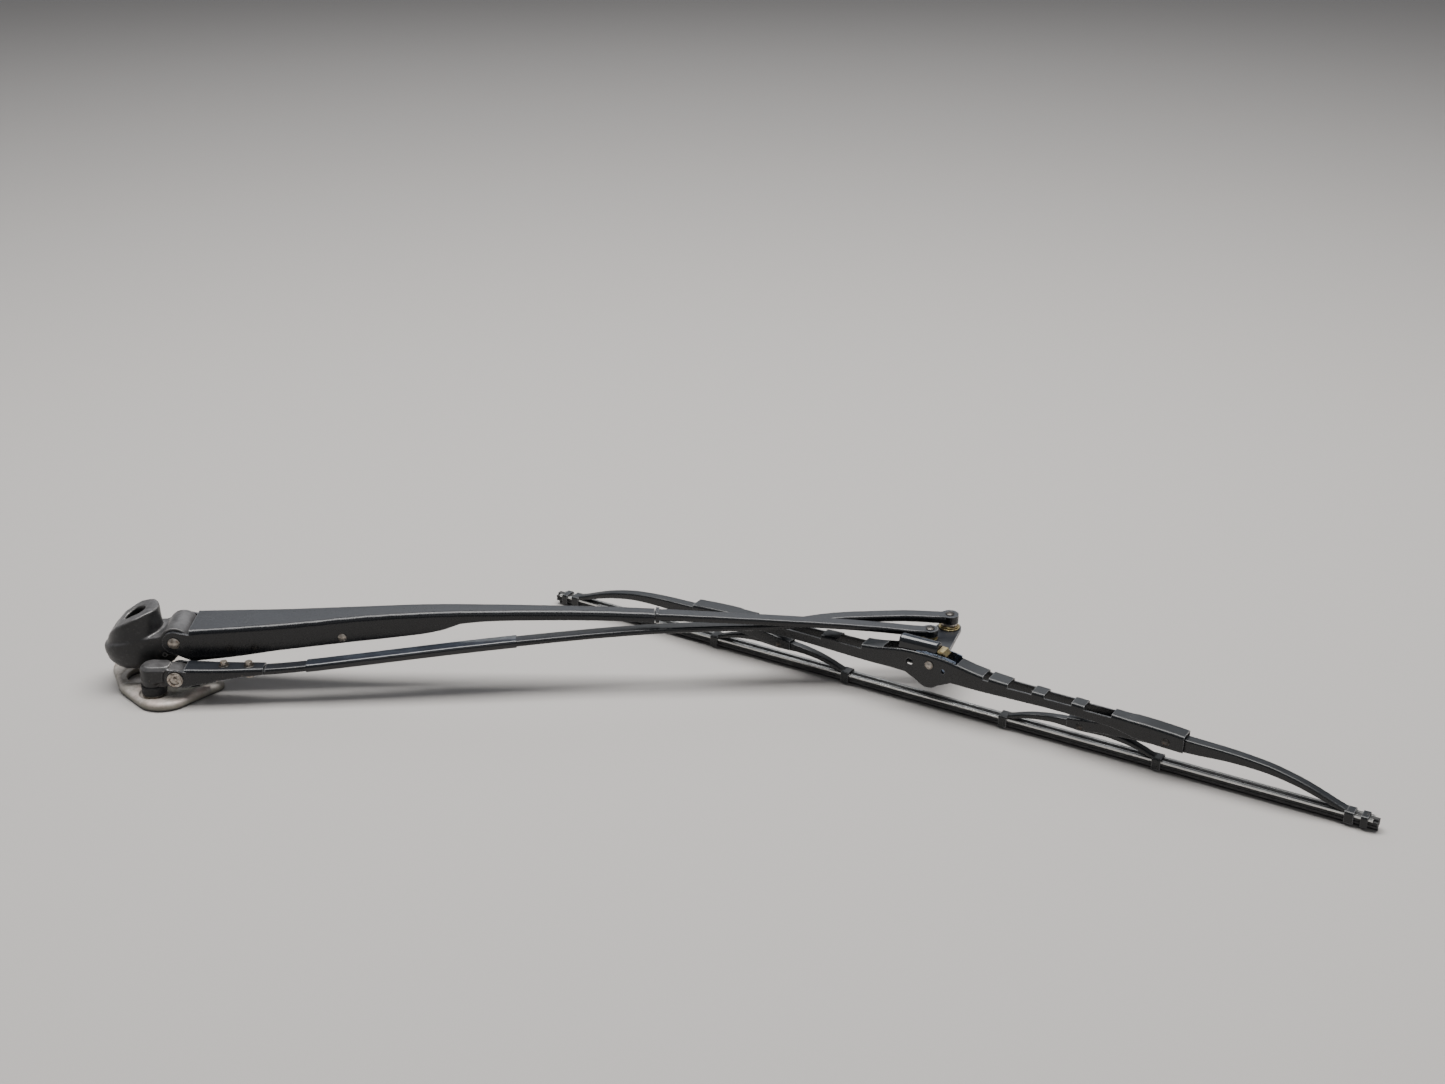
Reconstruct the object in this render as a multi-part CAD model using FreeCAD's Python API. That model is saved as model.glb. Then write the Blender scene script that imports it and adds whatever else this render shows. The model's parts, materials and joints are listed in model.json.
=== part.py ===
import FreeCAD, Part
import math
import os

# Two-arm (pantograph) windshield wiper assembly, lying in its working attitude.
# Millimetres. The main spindle axis is X = 0, Y = 0; Z = 0 is the plane of the plate's
# underside and of the rubber lip. +X runs along the main arm, +Z points off the glass.

# ---- driving sizes ----
ARM_LENGTH = 619.0            # main spindle to the main arm's end pivot
BLADE_LENGTH = 689.0          # wiping rubber, end to end (28 inch class blade)
BLADE_ANGLE = -31.0           # blade direction seen from above, degrees from the main arm
BLADE_CENTRE = (612.7, -37.4)
CONTROL_POST = (17.0, -31.0)  # control arm's swivel post
NEAR_PIVOT = (ARM_LENGTH, 0.0)
FAR_PIVOT = (636.5, 20.0)
RUN = 0.05                    # radial running clearance of every hinge
GAP = 0.02                    # gap between pieces fastened together

# main head and main arm
MAIN_HINGE = (33.0, 43.0)     # X and Z of the main hinge axis
HEAD_BOTTOM = 20.0
SEAT_HEIGHT = 41.0            # floor of the nut recess
RECESS_R = 8.0
SPINDLE_R = 5.5
INSERT_R = 6.9
NECK_HALF = 17.0
HEAD_KNUCKLE_R = 11.5
HINGE_PIN_R = 3.0
EAR_R = 9.2
SHEET = 2.0
BAR_CORNER = 2.0              # rounded edges of both flat bars
CHANNEL_START = 45.0
CHANNEL_END = 404.0
# X, width, wall height, height of the top face
CHANNEL_STATIONS = [(45, 39, 26, 53.4), (80, 36, 24, 54.9), (117, 31.5, 21.2, 56.8), (150, 27, 20.5, 59.2),
                    (180, 22.8, 20, 61.4), (222, 20.5, 17.5, 63.6), (240, 19.5, 14.5, 64.1),
                    (255, 18.5, 9.5, 64.3),
                    (285, 17, 7.5, 64.3), (325, 15, 7.2, 64.0), (362, 14.2, 7.0, 63.3), (404, 14, 7.0, 61.6)]
# X, width, thickness, height of the top face
BAR_STATIONS = [(362, 9, 4.6, 60.8), (404.1, 9, 4.6, 59.1), (404.7, 11.6, 6.0, 60.8), (440, 11.4, 5.8, 59.2),
                (480, 11.2, 5.6, 56.9), (520, 11.2, 5.4, 54.4), (556, 11.2, 5.2, 51.9),
                (585, 11.2, 5.2, 49.2),
                (608, 11.2, 5.4, 46.6), (616, 11.2, 5.4, 46.0)]
NEAR_EYE_TOP = 46.0
NEAR_EYE = 5.4
ANCHOR = (24.0, 31.5)         # X and Z of the spring's pin in the head
SPRING_START, SPRING_END = 72.0, 158.0
SPRING_Z = 44.5
SPRING_R = 6.5
WIRE_R = 1.0

# mounting plate: X, Y, radius of the discs its outline is stretched round
PLATE_DISCS = [(-3.0, 19.0, 26.0), (7.5, -8.5, 24.3), (25.0, -28.0, 23.5), (59.5, -13.5, 7.0)]
HOUSING_R = 13.0
RIM_WIDTH = 13.0
LOCATOR = (44.0, -13.0)
LOCATOR_R = 3.2

# control knuckle and control arm
CONTROL_HINGE = (37.0, 22.5)
KNUCKLE_TOP = 31.6
KNUCKLE_R = 8.9
LUG_HALF = 7.2
WEB_SWING_R = 9.8             # room for the fork round the control hinge
HOLLOW_RIVET_R = 4.0
FORK_SCREWS = (73.0, 92.3)
# X, Y, width, wall height, height of the top face
FORK_STATIONS = [(44, -31, 18.5, 14.6, 30.4), (58, -31, 17.6, 11.5, 30.0), (75, -30.8, 16.2, 8.0, 29.6),
                 (90, -30.5, 14.8, 6.0, 29.6), (104, -30, 13.6, 4.8, 29.6)]
# X, Y, width, thickness, height of the top face
CONTROL_STATIONS = [(62, -31, 9.2, 4.6, 27.3), (104.2, -30, 9.2, 4.6, 27.4), (104.9, -30, 11.4, 5.2, 28.6),
                    (120, -29.2, 11.4, 5.2, 29.4), (136, -28.2, 11.2, 5.0, 30.6),
                    (170, -25.4, 11.2, 5.0, 33.6),
                    (210, -21.8, 11.2, 5.0, 37.2), (255, -17.4, 11.2, 5.0, 41.0), (297, -13, 11.2, 5.0, 43.9),
                    (330, -9.6, 11.4, 4.8, 45.9), (370, -5.4, 11.4, 4.8, 47.9), (410, -1.2, 11.4, 4.8, 48.9),
                    (450, 3.2, 11.4, 4.8, 48.4), (485, 7.2, 11.4, 4.8, 47.4), (508, 9.8, 11.4, 4.8, 47.4),
                    (530, 12.2, 11.4, 5.0, 49.8), (545, 13.5, 11.4, 5.2, 51.0), (560, 14.6, 11.4, 5.4, 51.4),
                    (595, 17, 11.4, 5.8, 51.4), (615, 18.7, 11.4, 6.2, 50.2), (625, 19.4, 11.4, 6.3, 49.2),
                    (633, 19.9, 11.4, 6.4, 48.6)]
FAR_EYE_TOP = 48.6
FAR_EYE = 6.5
SLEEVE_START, SLEEVE_END = 136.0, 297.0

# coupler
COUPLER_TOP = 37.0
COUPLER_SHEET = 3.0
FLANGE_Y = 9.2                # the upright flange stands just behind the blade's far wall
FLANGE_SHEET = 2.6
PIVOT_R = 2.5
PIN_HEIGHT = 39.0             # blade pin above the glass
PIN_ALONG = 6.0               # blade pin along the blade from its centre
SIDE_PIN_R = 2.5

# blade
BLADE_SHEET = 1.3
# distance from the blade centre, width, wall height, height of the top face
BRIDGE_STATIONS = [(0, 16, 19, 47.2), (14, 16, 18.6, 46.8), (27, 15.8, 16.4, 44.8), (40, 15.6, 14, 42.2),
                   (54, 15.2, 12.4, 40.6), (82, 14.2, 10.5, 39.2), (112, 13.2, 9.6, 38.5),
                   (148, 13, 9.8, 37.6),
                   (163, 13.4, 11.5, 37.0), (168, 14.6, 13, 37.2), (190, 14.6, 13.5, 36.4),
                   (206, 14.2, 12.8, 35.2)]
HOOD_RIVET = (193.0, 27.5)
YOKE_RIVET = (127.0, 19.5)
SECONDARY_STATIONS = [(117, 9.4, 7.5, 24.2), (127, 9.4, 8.5, 25.4), (140, 9.4, 9.0, 27.4),
                      (160, 9.4, 9.5, 30.0),
                      (180, 9.4, 10.0, 31.6), (196, 9.4, 10.2, 32.0), (212, 9.2, 9.6, 31.8),
                      (236, 8.8, 7.4, 31.2),
                      (262, 8.4, 5.8, 29.2), (286, 8.2, 4.8, 24.4), (304, 8.0, 4.2, 18.6),
                      (316, 8.0, 3.2, 13.8),
                      (323, 8.0, 1.8, 11.4)]
YOKE_STATIONS = [(0, 7.0, 7.0, 22.6), (8, 7.0, 6.4, 22.4), (20, 7.0, 4.8, 21.3), (34, 6.8, 3.8, 18.9),
                 (46, 6.6, 3.2, 15.6), (54, 6.6, 2.6, 12.6), (58, 6.6, 1.8, 11.3)]
CLAW_AT = (67.0, 187.0, 325.0)
CLAW_TOP = 11.0
CLAW_BOTTOM = 2.0
CLAW_LENGTH = 6.6
CLAW_HALF = 5.4
RUBBER_TOP = 9.5
RAIL_HALF_LENGTH = 341.0

V = FreeCAD.Vector


# ---- basic shapes ----
def block(x0, x1, y0, y1, z0, z1):
    return Part.makeBox(x1 - x0, y1 - y0, z1 - z0, V(x0, y0, z0))


def rod_z(x, y, z0, z1, radius):
    return Part.makeCylinder(radius, z1 - z0, V(x, y, z0), V(0, 0, 1))


def rod_y(x, z, y0, y1, radius):
    return Part.makeCylinder(radius, y1 - y0, V(x, y0, z), V(0, 1, 0))


def ring_z(x, y, z0, z1, outer, inner):
    return rod_z(x, y, z0, z1, outer).cut(rod_z(x, y, z0 - 1, z1 + 1, inner))


def ring_y(x, z, y0, y1, outer, inner):
    return rod_y(x, z, y0, y1, outer).cut(rod_y(x, z, y0 - 1, y1 + 1, inner))


def dome_z(x, y, z, radius, height):
    """A rivet head: a flat-based dome standing on height z (height may be negative)."""
    sphere_r = (radius ** 2 + height ** 2) / (2 * abs(height))
    up = 1 if height > 0 else -1
    sphere = Part.makeSphere(sphere_r, V(x, y, z + height - up * sphere_r))
    low, high = sorted((z, z + height))
    return sphere.common(block(x - 50, x + 50, y - 50, y + 50, low, high))


def dome_y(x, z, y, radius, height):
    """A rivet head on a wall that faces along Y (height may be negative)."""
    sphere_r = (radius ** 2 + height ** 2) / (2 * abs(height))
    up = 1 if height > 0 else -1
    sphere = Part.makeSphere(sphere_r, V(x, y + height - up * sphere_r, z))
    low, high = sorted((y, y + height))
    return sphere.common(block(x - 50, x + 50, low, high, z - 50, z + 50))


def prism_xz(points, y0, y1):
    wire = Part.makePolygon([V(x, y0, z) for x, z in points + points[:1]])
    return Part.Face(wire).extrude(V(0, y1 - y0, 0))


def hull_outline(discs, z, count=72):
    """The outline, at height z, of a string stretched round discs (x, y, radius)."""
    points = []
    for i in range(count):
        angle = 2 * math.pi * i / count
        ux, uy = math.cos(angle), math.sin(angle)
        x, y, r = max(discs, key=lambda d: d[0] * ux + d[1] * uy + d[2])
        points.append(V(x + r * ux, y + r * uy, z))
    return points


def loft(sections):
    """A solid through closed outlines that all have the same number of points."""
    wires = [Part.makePolygon(points + points[:1]) for points in sections]
    return Part.makeLoft(wires, True, True)


def hull_solid(discs, z0, z1):
    return loft([hull_outline(discs, z0), hull_outline(discs, z1)])


def join(shapes):
    whole = shapes[0].multiFuse(shapes[1:]) if len(shapes) > 1 else shapes[0]
    return whole.removeSplitter()


def save(name, solids):
    shape = solids[0] if len(solids) == 1 else Part.makeCompound(solids)
    shape.exportStep("parts/" + name + ".step")


# ---- long pressed pieces: a profile carried through stations ----
def eased(stations, column, x):
    """A smooth value of one column of a station table at distance x."""
    xs = [s[0] for s in stations]
    i = max(k for k in range(len(xs) - 1) if xs[k] <= x or k == 0)
    span = xs[i + 1] - xs[i]

    def slope(k):
        a, b = max(k - 1, 0), min(k + 1, len(xs) - 1)
        left = (stations[k][column] - stations[a][column]) / (xs[k] - xs[a]) if k > a else None
        right = (stations[b][column] - stations[k][column]) / (xs[b] - xs[k]) if b > k else None
        if left is None or right is None:
            return right if left is None else left
        return 0.0 if left * right <= 0 else 2 * left * right / (left + right)

    t = (x - xs[i]) / span
    a, b = stations[i][column], stations[i + 1][column]
    m0, m1 = slope(i) * span, slope(i + 1) * span
    return a + t * m0 + t * t * (3 * (b - a) - 2 * m0 - m1) + t ** 3 * (2 * (a - b) + m0 + m1)


def steps(x0, x1, pitch):
    count = max(1, round((x1 - x0) / pitch))
    return [x0 + (x1 - x0) * i / count for i in range(count + 1)]


def corner(cy, cz, radius, start, end, count=4):
    angles = [math.radians(start + (end - start) * i / count) for i in range(count + 1)]
    return [(cy + radius * math.cos(a), cz + radius * math.sin(a)) for a in angles]


def channel_profile(width, height, top, sheet, radius):
    """An upside-down U with rounded shoulders, as (y, z) points."""
    half = width / 2.0
    foot = top - height
    inner = max(radius - sheet, 0.3)
    points = [(half, foot)]
    points += corner(half - radius, top - radius, radius, 0, 90)
    points += corner(-half + radius, top - radius, radius, 90, 180)
    points += [(-half, foot), (-half + sheet, foot)]
    points += corner(-half + sheet + inner, top - sheet - inner, inner, 180, 90)
    points += corner(half - sheet - inner, top - sheet - inner, inner, 90, 0)
    points += [(half - sheet, foot)]
    return points


def rounded_box(half, foot, top, radius):
    """A box section with rounded shoulders, as (y, z) points."""
    points = [(half, foot)] + corner(half - radius, top - radius, radius, 0, 90)
    return points + corner(-half + radius, top - radius, radius, 90, 180) + [(-half, foot)]


def bar_profile(width, thickness, top, radius):
    """A flat bar with rounded edges, as (y, z) points."""
    half = width / 2.0
    foot = top - thickness
    points = corner(half - radius, top - radius, radius, 0, 90)
    points += corner(-half + radius, top - radius, radius, 90, 180)
    points += corner(-half + radius, foot + radius, radius, 180, 270)
    points += corner(half - radius, foot + radius, radius, 270, 360)
    return points


def section(x, y, heading, profile):
    """Stands a (y, z) profile across the direction of travel."""
    c, s = math.cos(heading), math.sin(heading)
    return [V(x - s * py, y + c * py, pz) for py, pz in profile]


def straight_channel(stations, xs, sheet, radius):
    sections = []
    for x in xs:
        width, height, top = (eased(stations, k, x) for k in (1, 2, 3))
        sections.append(section(x, 0, 0, channel_profile(width, height, top, sheet, radius)))
    return loft(sections)


def path_heading(stations, x):
    step = 2.0
    low = max(x - step, stations[0][0])
    high = min(x + step, stations[-1][0])
    return math.atan2(eased(stations, 1, high) - eased(stations, 1, low), high - low)


# ---- mounting plate, the fixed piece ----
def plate_outline(inset):
    return [(x, y, r - inset) for x, y, r in PLATE_DISCS]


def pivot_plate():
    rim = loft([hull_outline(plate_outline(0.9), 0), hull_outline(plate_outline(0), 1.3),
                hull_outline(plate_outline(0), 4.0), hull_outline(plate_outline(1.0), 5.6),
                hull_outline(plate_outline(2.6), 6.6), hull_outline(plate_outline(5.0), 7.0)])
    dish_low = [(x, y, max(r - RIM_WIDTH - 2.5, 0.6)) for x, y, r in PLATE_DISCS]
    dish_high = [(x, y, max(r - RIM_WIDTH, 0.8)) for x, y, r in PLATE_DISCS]
    dish = loft([hull_outline(dish_low, 3.2), hull_outline(dish_high, 7.4)])
    dish = dish.fuse(rod_z(0, 0, 3.2, 8, HOUSING_R + 4.4)).fuse(rod_z(*CONTROL_POST, 3.2, 8, 11.6))
    housing_wall = rod_z(0, 0, 3, 5.6, HOUSING_R + 4)
    x, y = CONTROL_POST
    post_boss = rod_z(x, y, 3, 4.6, 11)
    plate = join([rim.cut(dish), housing_wall, post_boss])
    holes = [(0, 0, HOUSING_R), (x, y, 6 + GAP), (*LOCATOR, LOCATOR_R)]
    for hole_x, hole_y, radius in holes:
        plate = plate.cut(rod_z(hole_x, hole_y, -1, 9, radius))
    return plate


def swivel_post():
    x, y = CONTROL_POST
    return join([rod_z(x, y, 0.2, 6, 6), rod_z(x, y, 4.6 + GAP, 6, 9), rod_z(x, y, 6, 22, 4.5)])


def post_washer():
    return ring_z(*CONTROL_POST, 6 + GAP, 6.9, 8.6, 4.5 + RUN)


# ---- control knuckle, swivelling on the post ----
def control_knuckle():
    x, y = CONTROL_POST
    hx, hz = CONTROL_HINGE
    collar = loft([hull_outline([(x, y, KNUCKLE_R - 0.7)], 8), hull_outline([(x, y, KNUCKLE_R - 0.3)], 20)])
    cap_low = [(x, y, KNUCKLE_R), (x + 9.5, y, KNUCKLE_R - 0.3)]
    cap_high = [(x + 0.8, y, KNUCKLE_R - 2.2), (x + 8.5, y, KNUCKLE_R - 2.4)]
    cap = loft([hull_outline([(x, y, KNUCKLE_R - 0.4)], 17.5), hull_outline(cap_low, 19.5),
                hull_outline(cap_low, KNUCKLE_TOP - 3.0), hull_outline(cap_high, KNUCKLE_TOP)])
    tongue = [(x + 6, KNUCKLE_TOP - 2.4), (x + 6, 14.5), (hx, hz - 7), (hx, hz + 7)]
    lug = prism_xz(tongue, y - LUG_HALF, y + LUG_HALF)
    lug = lug.fuse(rod_y(hx, hz, y - LUG_HALF, y + LUG_HALF, 7))
    swing = rod_y(hx, hz, y - 20, y + 20, WEB_SWING_R)
    knuckle = join([collar, cap.cut(swing), lug])
    knuckle = knuckle.cut(rod_z(x, y, 0, 23, 6.4 + GAP))
    return knuckle.cut(rod_y(hx, hz, y - 20, y + 20, HOLLOW_RIVET_R + RUN))


def post_bush():
    return ring_z(*CONTROL_POST, 7, 22.6, 6.4, 4.5 + RUN)


def dust_collar():
    x, y = CONTROL_POST
    inner_r = KNUCKLE_R - 0.25
    ridges = [(0.7, 7.2), (0.95, 8), (0.95, 10), (0.6, 10.6), (0.9, 11.4), (0.9, 13.4), (0.5, 14.4)]
    outer = loft([hull_outline([(x, y, inner_r + wall)], z) for wall, z in ridges])
    return outer.cut(rod_z(x, y, 6, 16, inner_r))


# ---- control arm ----
def control_fork():
    hx, hz = CONTROL_HINGE
    y = CONTROL_POST[1]
    sections = []
    for x in steps(FORK_STATIONS[0][0], FORK_STATIONS[-1][0], 4):
        cy, width, height, top = (eased(FORK_STATIONS, k, x) for k in (1, 2, 3, 4))
        sections.append(section(x, cy, 0, channel_profile(width, height, top, 1.8, 2.6)))
    body = loft(sections)
    half = FORK_STATIONS[0][2] / 2.0
    root = FORK_STATIONS[0][0] + 1.5
    ears = []
    for side in (-1, 1):
        y0, y1 = sorted((y + side * half, y + side * (half - 1.8)))
        ears.append(rod_y(hx, hz, y0, y1, 7.4))
        ears.append(prism_xz([(hx, hz + 7.4), (hx, hz - 7.4), (root, 16.2), (root, 28.6)], y0, y1))
    fork = join([body] + ears)
    fork = fork.cut(rod_y(hx, hz, y - 20, y + 20, HOLLOW_RIVET_R + GAP))
    for x in FORK_SCREWS:
        fork = fork.cut(rod_z(x, -30.6, 20, 32, 2.5 + GAP))
    return fork


def hex_head(x, y, z0, z1, radius):
    turns = [math.radians(60 * i) for i in range(6)]
    corners = [(x + radius * math.cos(turn), y + radius * math.sin(turn), 0.01) for turn in turns]
    return hull_solid(corners, z0, z1).common(dome_z(x, y, z0, radius * 1.5, (z1 - z0) * 1.3))


def fork_screws():
    return [join([rod_z(x, -30.6, 23.6, 30.6, 2.5), hex_head(x, -30.6, 30.4 + GAP, 33.4, 2.9),
                  rod_z(x, -30.6, 20.9, 22.6, 3.6), rod_z(x, -30.6, 22.4, 23.8, 2.5)]) for x in FORK_SCREWS]


def fork_washers():
    return [ring_z(x, -30.6, 29.75 + GAP, 30.4, 4.3, 2.5 + GAP) for x in FORK_SCREWS]


def control_hinge_rivet():
    hx, hz = CONTROL_HINGE
    y = CONTROL_POST[1]
    half = FORK_STATIONS[0][2] / 2.0
    rivet = rod_y(hx, hz, y - half - 0.8, y + half + 0.8, HOLLOW_RIVET_R)
    for side in (-1, 1):
        y0, y1 = sorted((y + side * (half + GAP), y + side * (half + 1.2)))
        rivet = rivet.fuse(rod_y(hx, hz, y0, y1, 6.0))
        rim0, rim1 = sorted((y + side * (half + 1.0), y + side * (half + 1.8)))
        rivet = rivet.fuse(rod_y(hx, hz, rim0, rim1, 4.9))
    rivet = rivet.removeSplitter()
    for side in (-1, 1):
        face = y + side * (half + 1.8)
        y0, y1 = sorted((face, face - side * 1.1))
        rivet = rivet.cut(ring_y(hx, hz, y0, y1, 3.9, 1.9))
    return rivet


def along_control(x, side_points):
    y = eased(CONTROL_STATIONS, 1, x)
    return section(x, y, path_heading(CONTROL_STATIONS, x), side_points)


def control_bar():
    first, end = CONTROL_STATIONS[0][0], CONTROL_STATIONS[-1][0]
    xs = steps(first, 104.2, 14) + steps(104.9, end, 11)
    sections = []
    for x in xs:
        width, thickness, top = (eased(CONTROL_STATIONS, k, x) for k in (2, 3, 4))
        sections.append(along_control(x, bar_profile(width, thickness, top, BAR_CORNER)))
    eye = rod_z(*FAR_PIVOT, FAR_EYE_TOP - FAR_EYE, FAR_EYE_TOP, 7.0)
    bar = join([loft(sections), eye])
    for x in FORK_SCREWS:
        bar = bar.cut(rod_z(x, -30.6, 20, 32, 2.5 + GAP))
    return bar.cut(rod_z(*FAR_PIVOT, 30, 60, PIVOT_R + RUN))


def control_sleeve():
    outer, inner = [], []
    for x in steps(SLEEVE_START, SLEEVE_END, 11):
        width, thickness, top = (eased(CONTROL_STATIONS, k, x) for k in (2, 3, 4))
        outer.append(along_control(x, bar_profile(width + 1.6, thickness + 1.6, top + 0.8, BAR_CORNER + 0.6)))
    for x in steps(SLEEVE_START - 2, SLEEVE_END + 2, 11):
        width, thickness, top = (eased(CONTROL_STATIONS, k, x) for k in (2, 3, 4))
        inner.append(along_control(x, bar_profile(width + 0.3, thickness + 0.3, top + 0.15, BAR_CORNER)))
    return loft(outer).cut(loft(inner))


# ---- main arm ----
def main_channel():
    xs = steps(CHANNEL_START, 240, 8) + steps(245, CHANNEL_END, 8)
    body = straight_channel(CHANNEL_STATIONS, xs, SHEET, 4.2)
    hx, hz = MAIN_HINGE
    half = CHANNEL_STATIONS[0][1] / 2.0
    foot = CHANNEL_STATIONS[0][3] - CHANNEL_STATIONS[0][2]
    pieces = [body]
    for side in (-1, 1):
        y0, y1 = sorted((side * half, side * (half - SHEET)))
        pieces.append(rod_y(hx, hz, y0, y1, EAR_R))
        root = CHANNEL_START + 1
        ear = [(hx + 1, hz + EAR_R - 0.1), (hx - 2, hz - EAR_R + 0.3), (root, foot + 0.1), (root, 49.5)]
        pieces.append(prism_xz(ear, y0, y1))
    channel = join(pieces)
    channel = channel.cut(rod_y(hx, hz, -30, 30, HINGE_PIN_R + GAP))
    return channel.cut(rod_y(SPRING_END + 4, SPRING_Z, -30, 30, 2.0 + GAP))


def spring_pin():
    half = eased(CHANNEL_STATIONS, 1, SPRING_END + 4) / 2.0
    x = SPRING_END + 4
    shank = rod_y(x, SPRING_Z, -half - 0.4, half + 0.4, 2.0)
    heads = [dome_y(x, SPRING_Z, side * (half + 0.3), 3.4, side * 1.1) for side in (-1, 1)]
    return join([shank] + heads)


def tension_spring():
    """A close-wound coil, drawn as touching rings, with an eye at each end."""
    pitch = 2 * WIRE_R * 1.02
    turns = int((SPRING_END - SPRING_START - 8) / pitch)
    start = SPRING_START + 4
    outline = [V(start, 0, SPRING_R - 2 * WIRE_R)]
    for i in range(turns):
        for a in range(0, 181, 30):
            angle = math.radians(180 - a)
            outline.append(V(start + (i + 0.5) * pitch + WIRE_R * math.cos(angle), 0,
                             SPRING_R - WIRE_R + WIRE_R * math.sin(angle)))
    outline.append(V(start + turns * pitch, 0, SPRING_R - 2 * WIRE_R))
    wire = Part.makePolygon(outline + outline[:1])
    coil = Part.Face(wire).revolve(V(0, 0, 0), V(1, 0, 0), 360)
    coil.translate(V(0, 0, SPRING_Z))
    end = start + turns * pitch
    caps = [Part.makeCylinder(SPRING_R - WIRE_R, 1.2, V(x, 0, SPRING_Z), V(1, 0, 0))
            for x in (start - 0.6, end - 0.6)]
    tail = Part.makeCylinder(WIRE_R, SPRING_END + 0.6 - end, V(end - 0.6, 0, SPRING_Z), V(1, 0, 0))
    eye = ring_y(SPRING_END + 4, SPRING_Z, -WIRE_R, WIRE_R, 4.2, 2.0 + RUN)
    nose = Part.makeCylinder(WIRE_R, start - SPRING_START + 1, V(SPRING_START - 0.5, 0, SPRING_Z), V(1, 0, 0))
    return join([coil, caps[0], caps[1], tail, eye, nose])


def spring_link():
    """The flat strap from the coil to the anchor pin in the head."""
    ax, az = ANCHOR
    outline = [(ax, az - 3.4), (46, az - 3.4), (SPRING_START, SPRING_Z - 3.2), (SPRING_START, SPRING_Z + 3.2),
               (48, az + 3.2), (ax, az + 3.2)]
    strap = prism_xz(outline, -1.5, 1.5)
    strap = strap.fuse(rod_y(ax, az, -1.5, 1.5, 3.4)).removeSplitter()
    strap = strap.cut(Part.makeCylinder(WIRE_R + GAP, 10, V(SPRING_START - 1.2, 0, SPRING_Z), V(1, 0, 0)))
    return strap.cut(rod_y(ax, az, -9, 9, 1.8 + RUN))


def main_bar():
    xs = [362, 383, 404.1] + steps(404.7, 616, 11)
    sections = []
    for x in xs:
        width, thickness, top = (eased(BAR_STATIONS, k, x) for k in (1, 2, 3))
        sections.append(section(x, 0, 0, bar_profile(width, thickness, top, BAR_CORNER)))
    eye = rod_z(*NEAR_PIVOT, NEAR_EYE_TOP - NEAR_EYE, NEAR_EYE_TOP, 6.3)
    return join([loft(sections), eye]).cut(rod_z(*NEAR_PIVOT, 30, 60, PIVOT_R + RUN))


def crimp_band():
    """The bright collar where the channel is closed onto the bar."""
    outer, inner = [], []
    for x in (404.9, 407.6):
        outer.append(section(x, 0, 0, bar_profile(14.2, 8.4, eased(BAR_STATIONS, 3, x) + 1.2, 2.6)))
    for x in (404.75, 409.0):
        inner.append(section(x, 0, 0, bar_profile(12.0, 6.5, eased(BAR_STATIONS, 3, x) + 0.2, 1.6)))
    return loft(outer).cut(loft(inner))


def main_hinge_rivet():
    hx, hz = MAIN_HINGE
    half = CHANNEL_STATIONS[0][1] / 2.0
    parts = [rod_y(hx, hz, -half - 0.6, half + 0.6, HINGE_PIN_R)]
    for side in (-1, 1):
        y0, y1 = sorted((side * (half + GAP), side * (half + 0.8)))
        parts.append(rod_y(hx, hz, y0, y1, 4.6))
        parts.append(dome_y(hx, hz, side * (half + 0.7), 4.6, side * 1.8))
    return join(parts)


# ---- main head ----
def cut_above(line):
    """Everything above a line of (x, z) points, which runs on level past its ends."""
    (x0, z0), (x1, z1) = line[0], line[-1]
    return prism_xz([(-60, z0)] + line + [(60, z1), (60, 140), (-60, 140)], -60, 60)


def main_head():
    hx, hz = MAIN_HINGE
    low = [(-1, 0, 18.5), (14, 0, 13.5)]
    middle = [(-3, 0, 21.3), (16, 0, 15.5)]
    wide = [(-4.5, 0, 22.0), (17, 0, 16.2)]
    bowl = loft([hull_outline(low, HEAD_BOTTOM), hull_outline(middle, 25), hull_outline(wide, 31.5),
                 hull_outline(wide, 35.0), hull_outline([(-3.0, 0, 21.0), (15, 0, 16.0)], 48)])
    bowl = bowl.cut(cut_above([(-27, 35.0), (-14, 41), (22, 48.0)]))
    boss = loft([hull_outline([(-3.4, 0, 21.6), (4, 0, 17)], 32),
                 hull_outline([(-1.4, 0, 20.6), (2, 0, 18)], 44),
                 hull_outline([(0.4, 0, 18.6)], 58), hull_outline([(1.0, 0, 17.4)], 72)])
    boss = boss.cut(cut_above([(-21, 43.0), (-19, 47.0), (-12, 54.2), (0, 61.4), (12, 65.6), (19, 66.0)]))
    side = [(2, HEAD_BOTTOM + 4), (15, 29.0), (hx - 2, hz - HEAD_KNUCKLE_R + 0.3),
            (hx + 1, hz + HEAD_KNUCKLE_R - 0.2), (19, 46.2), (2, 44)]
    neck = prism_xz(side, -NECK_HALF, NECK_HALF)
    knuckle = rod_y(hx, hz, -NECK_HALF, NECK_HALF, HEAD_KNUCKLE_R)
    head = join([bowl, boss, neck, knuckle])
    recess = rod_z(0, 0, SEAT_HEIGHT, 90, RECESS_R)
    slot = block(19.6, 50, -2.2, 2.2, 19, 38.0)
    ax, az = ANCHOR
    for tool in (recess, rod_z(0, 0, 0, 60, INSERT_R + GAP), rod_y(hx, hz, -30, 30, HINGE_PIN_R + RUN), slot,
                 rod_y(ax, az, -30, 30, 1.8 + GAP)):
        head = head.cut(tool)
    return head


def spindle_insert():
    """Serrated sleeve that grips the spindle's taper."""
    sleeve = ring_z(0, 0, HEAD_BOTTOM + 0.4, SEAT_HEIGHT, INSERT_R, SPINDLE_R)
    flange = ring_z(0, 0, SEAT_HEIGHT + GAP, SEAT_HEIGHT + 0.9, INSERT_R + 0.9, SPINDLE_R)
    neck = ring_z(0, 0, SEAT_HEIGHT - 0.5, SEAT_HEIGHT + 0.5, INSERT_R, SPINDLE_R)
    return join([sleeve, neck, flange])


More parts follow.
